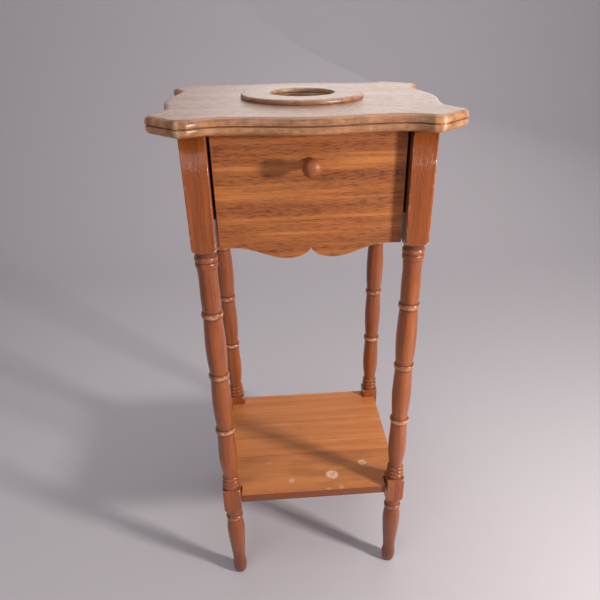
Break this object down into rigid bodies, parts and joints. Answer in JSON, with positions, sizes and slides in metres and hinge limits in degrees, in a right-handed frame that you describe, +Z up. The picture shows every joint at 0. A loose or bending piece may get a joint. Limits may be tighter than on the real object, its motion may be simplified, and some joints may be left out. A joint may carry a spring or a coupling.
{
  "type": "sewing table",
  "caption": "Small square occasional table on turned legs, with a shaped top pierced by a ringed hole, a deep drawer and a low shelf.",
  "frame": {"origin": "on the floor, under the middle of the table, between the four feet", "axes": "+Z up, -Y the way the drawer opens (the front), +X to the right of someone facing the drawer"},
  "size_m": [0.303, 0.278, 0.6375],
  "materials": {
    "top_wood": "worn satin varnish, greyish brown with lighter edges",
    "ring_wood": "worn satin varnish",
    "leg_wood": "satin reddish-brown varnish, dark in the recesses",
    "apron_wood": "satin brown varnish",
    "panel_wood": "satin honey-brown varnish with a coarse dark grain",
    "shelf_wood": "satin orange-brown varnish with water spots",
    "knob_wood": "plain light brown satin varnish",
    "inner_wood": "bare sawn wood",
    "drawer_wood": "bare planed wood",
    "thin_ply": "bare plywood",
    "pin_wood": "bare turned wood",
    "screw_steel": "dull plain steel",
    "nail_steel": "dull dark steel"
  },
  "bodies": {
    "frame": {"top_board": "top_wood", "top_ring": "ring_wood", "leg_front_left": "leg_wood", "leg_front_right": "leg_wood", "leg_back_left": "leg_wood", "leg_back_right": "leg_wood", "apron_left": "apron_wood", "apron_right": "apron_wood", "apron_back": "apron_wood", "front_rail": "inner_wood", "runner_left": "inner_wood", "runner_right": "inner_wood", "guide_left": "inner_wood", "guide_right": "inner_wood", "kicker_left": "inner_wood", "kicker_right": "inner_wood", "drawer_stop_left": "inner_wood", "drawer_stop_right": "inner_wood", "shelf_board_front": "shelf_wood", "shelf_board_back": "shelf_wood", "apron_pins": "pin_wood", "rail_pins": "pin_wood", "top_pins": "pin_wood", "shelf_pins": "pin_wood", "top_screws": "screw_steel", "kicker_screws": "screw_steel", "runner_screws": "screw_steel"},
    "drawer": {"drawer_front": "panel_wood", "drawer_side_left": "drawer_wood", "drawer_side_right": "drawer_wood", "drawer_back": "drawer_wood", "drawer_bottom": "thin_ply", "knob": "knob_wood", "knob_screw": "screw_steel", "drawer_nails": "nail_steel"}
  },
  "joints": [
    {"name": "drawer_slide", "type": "slide", "parent": "frame", "child": "drawer", "axis": [0, -1, 0], "range_m": [0, 0.13]}
  ]
}
